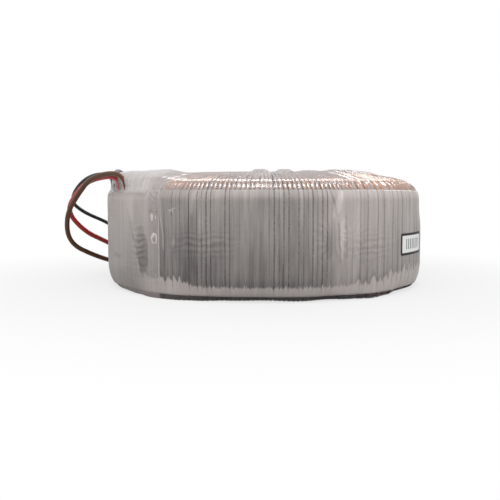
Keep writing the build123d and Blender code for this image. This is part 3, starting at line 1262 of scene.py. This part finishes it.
@dataclass
class SecondaryWinding:
    """The outer winding, turn by turn, over an inner lining of its lower turns, painted dark as shade."""

    section: RingSection
    plan: TurnPlan
    wire: float = 1.9 * MM
    depth: float = 0.35 * MM
    layers: int = 4
    layer_step: float = 1.75 * MM
    layered_from: float = 0.86
    layered_over: float = 0.5
    sides: int = 4
    stray: float = 2.0
    unevenness: float = 0.18 * MM
    lining_depth: float = 1.05
    lining_columns: int = 120
    seed: int = 7
    counts: dict = field(default_factory=lambda: {
        Stretch.WALL: 1, Stretch.SHOULDER: 5, Stretch.CROWN: 2, Stretch.SEAT: 1, Stretch.MOUTH: 3,
        Stretch.BORE: 1, Stretch.THROAT: 2, Stretch.UNDERSIDE: 2, Stretch.HEEL: 3})

    def share_inside(self, station: Station) -> float:
        """How far a station is towards the bore, where the turns lie in layers.

        Args:
            station: The station.

        Returns:
            0 on the outer wall, rising to 1 at the bore.
        """
        outer = self.section.outer_radius
        reach = (outer * self.layered_from - station.radius) / (outer * self.layered_over)
        return max(0.0, min(1.0, reach))

    def one_turn(self, layer: int) -> bpy.types.Mesh:
        """The loop of one turn at the front, swept from a small section.

        Args:
            layer: Which layer its inner leg lies in.

        Returns:
            A mesh to copy.
        """
        bm = bmesh.new()
        flank = bm.verts.layers.float.new("flank")
        loop = None
        for station in self.section.stations(self.counts):
            sunk = self.depth + self.wire / 2 + layer * self.layer_step * self.share_inside(station)
            radius, height = station.sunk(sunk)
            out = Vector((0, -station.out_radius, station.out_height))
            side = Vector((1, 0, 0))
            if loop is None:
                loop = bmesh.ops.create_circle(bm, segments=self.sides, radius=self.wire / 2)["verts"]
            else:
                edges = [edge for edge in bm.edges if all(v in loop for v in edge.verts)]
                made = bmesh.ops.extrude_edge_only(bm, edges=edges)
                fresh = [v for v in made["geom"] if isinstance(v, bmesh.types.BMVert)]
                loop = [next(v for v in fresh if (v.co - old.co).length < SAME_PLACE) for old in loop]
            for k, vertex in enumerate(loop):
                vertex[flank] = k % 2
                angle = math.tau * k / self.sides
                vertex.co = (on_ring(radius, 0, height)
                             + (out * math.cos(angle) + side * math.sin(angle)) * self.wire / 2)
        ends = [edge for edge in bm.edges if len(edge.link_faces) == 1 or not edge.link_faces]
        bmesh.ops.bridge_loops(bm, edges=ends)
        bmesh.ops.recalc_face_normals(bm, faces=bm.faces[:])
        mesh = bpy.data.meshes.new("turn")
        bm.to_mesh(mesh)
        bm.free()
        return mesh

    def build(self) -> bpy.types.Object:
        """Lays every turn round the ring.

        Returns:
            The turns as one object.
        """
        rng = random.Random(self.seed)
        turns = [self.one_turn(layer) for layer in range(self.layers)]
        bm = bmesh.new()
        for k, left in enumerate(self.plan.centres):
            before = len(bm.verts)
            bm.from_mesh(turns[(k * 3 + rng.randrange(2)) % self.layers])
            bm.verts.ensure_lookup_table()
            drift = rng.uniform(-1, 1) * self.stray
            lift = rng.uniform(0.0, self.unevenness)
            for vertex in bm.verts[before:]:
                radius, height = -vertex.co.y, vertex.co.z
                share = max(0.0, 1.0 - radius / self.section.outer_radius)
                for bulge in WOUND_BULGES:
                    radius, height = bulge.moved(radius, left, height)
                vertex.co = Vector((vertex.co.x, -(radius - lift), height))
                vertex.co = Matrix.Rotation(-math.radians(left + drift * share), 4, "Z") @ vertex.co
        for mesh in turns:
            bpy.data.meshes.remove(mesh)
        piece = make_object("winding_turns", bm, EnamelledCopper().material())
        return piece

    def lining(self) -> bpy.types.Object:
        """Makes the closed surface of the turns below the outer ones, painted dark as the shade in the
        gaps between the outer turns.

        Returns:
            The lining.
        """
        counts = {stretch: count + 1 for stretch, count in self.counts.items()}
        bm = bmesh.new()
        depth = self.depth + self.wire * self.lining_depth
        points = []
        for station in self.section.stations(counts):
            extra = self.layer_step * (self.layers - 1) * self.share_inside(station)
            radius, height = station.sunk(depth + extra)
            points.append(bm.verts.new(on_ring(radius, 0, height)))
        spin_round(bm, points, True, self.lining_columns)
        bmesh.ops.recalc_face_normals(bm, faces=bm.faces[:])
        # Painted shade: the lower turns are a dark, dull copper brown, so the gaps between the outer
        # turns look shaded.
        finish = PlainFinish("lower_turns_painted_shade", (0.115, 0.055, 0.036), 0.55, grain=0.6,
                             stretch=(1.0, 1.0, 0.05))
        piece = make_object("winding_lower_turns_painted_shade", bm, finish.material())
        return piece


@dataclass
class OuterFilm:
    """The clear film wound over everything, drawn down a little between the turns."""

    section: RingSection
    plan: TurnPlan
    depth: float = 0.18 * MM
    thickness: float = 0.12 * MM
    dip: float = 0.52 * MM
    shallow_gap: float = 0.45
    dip_on_wall: float = 0.3
    smooth_within: float = 32.0 * MM
    smooth_over: float = 28.0 * MM
    counts: dict = field(default_factory=lambda: {
        Stretch.WALL: 3, Stretch.SHOULDER: 10, Stretch.CROWN: 12, Stretch.SEAT: 4, Stretch.MOUTH: 6,
        Stretch.BORE: 2, Stretch.THROAT: 4, Stretch.UNDERSIDE: 4, Stretch.HEEL: 5})

    def sink(self, station: Station, left: float, gap: float) -> float:
        """How deep the film lies at a place on the ring.

        Args:
            station: The place's station on the section.
            left: Degrees to the left of the front.
            gap: How open the gap between two turns is there, or 0 on a turn.

        Returns:
            The depth in metres.
        """
        wound = self.plan.start_left - self.plan.wound() <= left <= self.plan.start_left
        if not wound or gap <= 0:
            return self.depth
        off_bore = max(0.0, min(1.0, (station.radius - self.smooth_within) / self.smooth_over))
        dip = self.dip * (self.shallow_gap + (1.0 - self.shallow_gap) * gap) * off_bore
        return self.depth + dip * (self.dip_on_wall if station.stretch is Stretch.WALL else 1.0)

    def build(self) -> bpy.types.Object:
        """Makes the film.

        Returns:
            The film.
        """
        skin = RingMesh(self.section.stations(self.counts), self.plan, closed=True)
        skin.push(self.sink, WOUND_BULGES + FILM_BULGES)
        piece = skin.finish("wound_film", ClearFilm().material(), self.thickness)
        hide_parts("outer_wrap")
        return piece


@dataclass
class SideBand:
    """The wide hazy film round the outer wall, from the shoulder to under the heel."""

    section: RingSection
    plan: TurnPlan
    top: float = 49.7 * MM
    bottom: float = 2.55 * MM
    thickness: float = 0.14 * MM
    depth: float = -0.18 * MM
    dip: float = 0.16 * MM
    ripple: float = 0.03 * MM
    counts: dict = field(default_factory=lambda: {
        Stretch.WALL: 16, Stretch.SHOULDER: 14, Stretch.CROWN: 1, Stretch.SEAT: 1, Stretch.MOUTH: 1,
        Stretch.BORE: 1, Stretch.THROAT: 1, Stretch.UNDERSIDE: 1, Stretch.HEEL: 14})

    def sink(self, station: Station, left: float, gap: float) -> float:
        """How deep the band lies at a place on the ring.

        Args:
            station: The place's station on the section.
            left: Degrees to the left of the front.
            gap: How open the gap between two turns is there, or 0 on a turn.

        Returns:
            The depth in metres.
        """
        wave = self.ripple * math.sin(station.height / MM * 2.3 + left * 0.4)
        return self.depth + self.ripple + wave + self.dip * gap

    def build(self) -> bpy.types.Object:
        """Makes the band.

        Returns:
            The band.
        """
        outline = [s for s in self.section.stations(self.counts)
                   if s.stretch in (Stretch.WALL, Stretch.SHOULDER, Stretch.HEEL)
                   and self.bottom <= s.height <= self.top]
        heel = [s for s in outline if s.stretch is Stretch.HEEL]
        rest = [s for s in outline if s.stretch is not Stretch.HEEL]
        skin = RingMesh(heel + rest, self.plan, closed=False)
        skin.push(self.sink, WOUND_BULGES)
        finish = HazyBand(self.plan.start_left, self.plan.wound() / self.plan.turns)
        piece = skin.finish("wound_band", finish.material(), self.thickness)
        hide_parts("side_band")
        return piece


class LeadColour(Enum):
    """The flying leads by the colour of their insulation."""

    BROWN = "brown"
    RED = "red"
    BLACK = "black"
    BLUE = "blue"


@dataclass(frozen=True)
class Lead:
    """One flying lead: its diameter and length in metres, its route in millimetres and its finish. The
    length is not used.
    """

    colour: LeadColour
    diameter: float
    length: float
    route: tuple
    finish: LeadSheath

    def build(self) -> bpy.types.Object:
        """Lays the lead along its route as one smooth curve.

        Returns:
            The lead.
        """
        curve = bpy.data.curves.new(f"lead_{self.colour.value}_cord", "CURVE")
        curve.dimensions = "3D"
        curve.bevel_depth = self.diameter / 2
        curve.bevel_resolution = 3
        curve.resolution_u = 8
        curve.use_fill_caps = True
        spline = curve.splines.new("NURBS")
        spline.points.add(len(self.route) - 1)
        for point, place in zip(spline.points, self.route):
            point.co = (*(value * MM for value in place), 1.0)
        spline.order_u = 3
        spline.use_endpoint_u = True
        curve.materials.append(self.finish.material())
        piece = add_object(curve.name, curve)
        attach(piece, BODY)
        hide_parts(f"lead_{self.colour.value}")
        log.info("%s lead laid", self.colour.value)
        return piece


LEADS = (
    Lead(LeadColour.BROWN, 2.6 * MM, 0.2225, (
        (-65.0, -46.4, 34.0), (-64.7, -46.9, 44.8), (-66.8, -44.2, 57.6), (-86.0, -28.2, 56.2),
        (-95.7, -18.2, 47.2), (-105.2, -7.6, 35.6), (-107.0, 3.6, 20.0), (-95.4, 16.3, 11.9),
        (-86.4, 30.8, 7.0), (-79.3, 48.0, 4.0), (-69.0, 62.5, 1.6), (-56.0, 75.5, 1.4),
        (-39.5, 84.0, 1.3), (-27.0, 86.5, 1.4)),
        LeadSheath("brown_pvc", (0.062, 0.026, 0.015), (0.092, 0.042, 0.024), (1.0, 0.66, 0.36, 1.0),
                   gloss=0.45)),
    Lead(LeadColour.RED, 2.6 * MM, 0.2228, (
        (-69.5, -39.3, 34.0), (-69.3, -39.8, 44.4), (-70.1, -38.0, 56.5), (-88.6, -21.4, 54.6),
        (-97.5, -14.2, 47.8), (-106.2, -2.9, 37.8), (-99.5, 8.8, 26.2), (-90.8, 21.7, 20.0),
        (-86.3, 37.2, 14.9), (-80.3, 51.8, 9.9), (-70.7, 65.6, 5.8), (-59.5, 79.0, 2.0),
        (-44.0, 89.5, 1.3), (-29.0, 94.0, 1.5), (-18.0, 95.0, 1.3)),
        LeadSheath("red_pvc", (0.38, 0.018, 0.024), (0.50, 0.046, 0.044), (1.0, 0.62, 0.58, 1.0))),
    Lead(LeadColour.BLACK, 2.0 * MM, 0.2211, (
        (-75.8, -26.1, 34.0), (-75.4, -27.0, 45.1), (-76.4, -23.9, 57.6), (-92.8, -12.2, 56.6),
        (-104.7, -2.7, 44.0), (-100.6, 10.4, 36.9), (-90.5, 24.3, 30.9), (-88.1, 39.9, 26.2),
        (-82.0, 54.6, 20.3), (-73.8, 68.2, 14.1), (-64.3, 80.5, 8.3), (-51.5, 92.5, 2.4),
        (-35.5, 100.5, 1.0), (-20.0, 103.0, 1.2), (-11.0, 102.5, 1.0)),
        LeadSheath("black_pvc", (0.010, 0.010, 0.011), (0.022, 0.021, 0.022))),
    Lead(LeadColour.BLUE, 2.0 * MM, 0.2244, (
        (-73.4, -32.2, 34.0), (-73.2, -33.2, 46.5), (-74.0, -30.0, 57.6), (-76.0, -12.5, 59.3),
        (-75.9, 5.0, 57.6), (-74.2, 22.0, 58.4), (-68.5, 38.0, 58.8), (-59.5, 54.0, 57.8),
        (-48.0, 70.0, 53.0), (-35.0, 81.5, 41.5), (-22.0, 88.5, 26.5), (-8.0, 92.5, 12.0),
        (8.0, 94.5, 1.6), (21.0, 93.5, 1.0)),
        LeadSheath("blue_pvc", (0.022, 0.020, 0.050), (0.040, 0.036, 0.075))),
)


def dress_node(name: str, material: bpy.types.Material) -> None:
    """Puts a material on a piece that stays as built.

    Args:
        name: The piece's node.
        material: Its finish.
    """
    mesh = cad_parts[name].data
    mesh.materials.clear()
    mesh.materials.append(material)
    log.info("%s dressed", name)


@dataclass
class InnerPieces:
    """The pieces that stay as built inside the ring, each with the finish of its stuff."""

    finishes: dict = field(default_factory=lambda: {
        "core": PlainFinish("strip_steel", (0.40, 0.41, 0.43), 0.42, 1.0, 3.0, (1, 1, 0.1)),
        "core_cap_upper": PlainFinish("cap_nylon", (0.72, 0.70, 0.62), 0.5),
        "core_cap_lower": PlainFinish("cap_nylon_lower", (0.72, 0.70, 0.62), 0.5),
        "core_wrap": PlainFinish("core_tape", (0.80, 0.68, 0.36), 0.35),
        "primary_winding": PlainFinish("primary_copper", (0.52, 0.26, 0.15), 0.35, 1.0, 0.9),
        "winding_barrier": PlainFinish("barrier_film", (0.42, 0.36, 0.30), 0.35),
        "lead_padding": PlainFinish("folded_film", (0.60, 0.57, 0.53), 0.35, 0.0, 0.5, (1, 1, 3)),
    })

    def dress(self) -> None:
        """Gives each inner piece its material."""
        for name, finish in self.finishes.items():
            dress_node(name, finish.material())
        solder = PlainFinish("dull_solder", (0.62, 0.62, 0.63), 0.35, 1.0, 4.0).material()
        strands = PlainFinish("tinned_strands", (0.70, 0.69, 0.66), 0.30, 1.0, 6.0).material()
        shrink = PlainFinish("shrunk_sleeve", (0.05, 0.045, 0.045), 0.45).material()
        for colour in LeadColour:
            dress_node(f"splice_{colour.value}", solder)
            dress_node(f"tinned_end_{colour.value}", strands)
            dress_node(f"sleeve_{colour.value}", shrink)


@dataclass
class Outside:
    """The tape and the label on the outside of the film."""

    label_left: float = -60.7
    label_width: float = 28.0

    def dress(self) -> None:
        """Gives the tape and the label their materials."""
        dress_node("finish_tape", CreasedTape().material())
        low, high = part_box("label")
        sticker = StickerVinyl(self.label_left, (low.z + high.z) / 2 / MM, self.label_width,
                               (high.z - low.z) / MM)
        dress_node("label", sticker.material())


@dataclass(frozen=True)
class Lamp:
    """A soft rectangular lamp that faces one point.

    Its distance and its size, width and depth, are in metres. Its elevation is in degrees up from
    the front, past 90 on the other side, and its azimuth in degrees round to the right. One that is
    gloss only shows as a highlight and lights nothing.
    """

    name: str
    distance: float
    elevation: float
    size: tuple
    watts: float
    gloss_only: bool = True
    azimuth: float = 0.0

    def hang(self, aim: Vector) -> None:
        """Hangs the lamp.

        Args:
            aim: The point that it faces.
        """
        data = bpy.data.lights.new(self.name, "AREA")
        data.shape = "RECTANGLE"
        data.size, data.size_y = self.size
        data.energy = self.watts
        holder = add_object(self.name, data)
        angle = math.radians(self.elevation)
        back = Vector((0, -math.cos(angle), math.sin(angle)))
        back = Matrix.Rotation(math.radians(self.azimuth), 3, "Z") @ back
        holder.location = aim + back * self.distance
        holder.rotation_mode = "QUATERNION"
        holder.rotation_quaternion = (-back).to_track_quat("-Z", "Y")
        holder.visible_diffuse = not self.gloss_only


@dataclass
class Studio:
    """Pale floor, white surroundings, four lamps for the highlights and a soft front light."""

    lamps: tuple = (
        Lamp("back_right", 1.0, 26.0, (0.08, 0.18), 0.36, azimuth=156.0),
        Lamp("side_right", 1.0, 38.0, (0.14, 0.32), 1.9, azimuth=136.0),
        Lamp("overhead_front", 0.75, 76.0, (0.40, 0.20), 3.8),
        Lamp("overhead_back", 0.75, 126.0, (0.40, 0.15), 2.4),
        Lamp("front_fill", 1.2, 38.0, (0.9, 0.6), 4.6, gloss_only=False),
    )
    aim_height: float = 45.0 * MM
    floor_size: float = 6.0
    floor_white: float = 0.70
    floor_grey: tuple = (0.82, 0.82, 0.82, 1.0)
    shadow_reach: tuple = (110.0, 240.0)
    ambient: float = 0.78
    lens: float = 51.66
    camera_place: tuple = (-1.15 * MM, -388.16 * MM, 48.21 * MM)
    camera_pitch: float = 4.646
    camera_yaw: float = 0.9125

    def build(self) -> None:
        """Makes the floor, the surroundings, the lights and the camera."""
        self.floor()
        self.surroundings()
        for lamp in self.lamps:
            lamp.hang(Vector((0, 0, self.aim_height)))
        self.camera()

    def floor(self) -> None:
        """A wide pale floor that keeps the ring's soft shadow."""
        bm = bmesh.new()
        bmesh.ops.create_grid(bm, x_segments=2, y_segments=2, size=self.floor_size / 2)
        mesh = bpy.data.meshes.new("floor")
        bm.to_mesh(mesh)
        bm.free()
        mesh.materials.append(self.floor_finish())
        add_object("floor", mesh)

    def floor_finish(self) -> bpy.types.Material:
        """Pale and shadowed near the ring, and white to the eye further off.

        Returns:
            The finished material.
        """
        shader = Shader("pale_floor")
        tree = shader.tree
        rays = shader.node("ShaderNodeLightPath")
        seen = Field(shader, rays.outputs["Is Camera Ray"])
        far = shader.radius().rise(*self.shadow_reach)
        share = seen * (self.floor_white + far * (1.0 - self.floor_white))
        diffuse = shader.node("ShaderNodeBsdfDiffuse")
        diffuse.inputs["Color"].default_value = self.floor_grey
        glow = shader.node("ShaderNodeEmission")
        glow.inputs["Strength"].default_value = 1.0
        mix = shader.node("ShaderNodeMixShader")
        shader.feed(mix.inputs["Fac"], share)
        tree.links.new(diffuse.outputs[0], mix.inputs[1])
        tree.links.new(glow.outputs[0], mix.inputs[2])
        output = shader.node("ShaderNodeOutputMaterial")
        tree.links.new(mix.outputs[0], output.inputs["Surface"])
        return shader.material

    def surroundings(self) -> None:
        """White to the eye and in reflections, and a plain soft light on everything."""
        world = bpy.data.worlds.new("surroundings")
        bpy.context.scene.world = world
        world.use_nodes = True
        tree = world.node_tree
        tree.nodes.clear()
        rays = tree.nodes.new("ShaderNodeLightPath")
        seen = tree.nodes.new("ShaderNodeMath")
        seen.operation = "MAXIMUM"
        both = tree.nodes.new("ShaderNodeMath")
        both.operation = "MAXIMUM"
        tree.links.new(rays.outputs["Is Camera Ray"], seen.inputs[0])
        tree.links.new(rays.outputs["Is Glossy Ray"], seen.inputs[1])
        tree.links.new(seen.outputs[0], both.inputs[0])
        tree.links.new(rays.outputs["Is Transmission Ray"], both.inputs[1])
        strength = tree.nodes.new("ShaderNodeMapRange")
        tree.links.new(both.outputs[0], strength.inputs["Value"])
        strength.inputs["To Min"].default_value = self.ambient
        strength.inputs["To Max"].default_value = 1.0
        background = tree.nodes.new("ShaderNodeBackground")
        background.inputs["Color"].default_value = (1, 1, 1, 1)
        tree.links.new(strength.outputs[0], background.inputs["Strength"])
        output = tree.nodes.new("ShaderNodeOutputWorld")
        tree.links.new(background.outputs[0], output.inputs["Surface"])

    def camera(self) -> None:
        """The camera, level with the upper part of the ring."""
        data = bpy.data.cameras.new("camera")
        data.lens = self.lens
        data.sensor_width = 36.0
        data.clip_start = 0.01
        holder = add_object("camera", data)
        holder.location = self.camera_place
        holder.rotation_euler = (math.radians(90 - self.camera_pitch), 0.0,
                                 math.radians(self.camera_yaw))
        bpy.context.scene.camera = holder


def main() -> None:
    """Builds the transformer and its studio."""
    logging.basicConfig(level=logging.INFO, format="%(message)s")
    bpy.context.scene.view_settings.view_transform = "Standard"
    section = RingSection()
    plan = TurnPlan()
    winding = SecondaryWinding(section, plan)
    turns = winding.build()
    winding.lining()
    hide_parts("secondary_winding")
    OuterFilm(section, plan).build()
    SideBand(section, plan).build()
    for lead in LEADS:
        lead.build()
    InnerPieces().dress()
    Outside().dress()
    Studio().build()


if __name__ == "__main__":
    main()
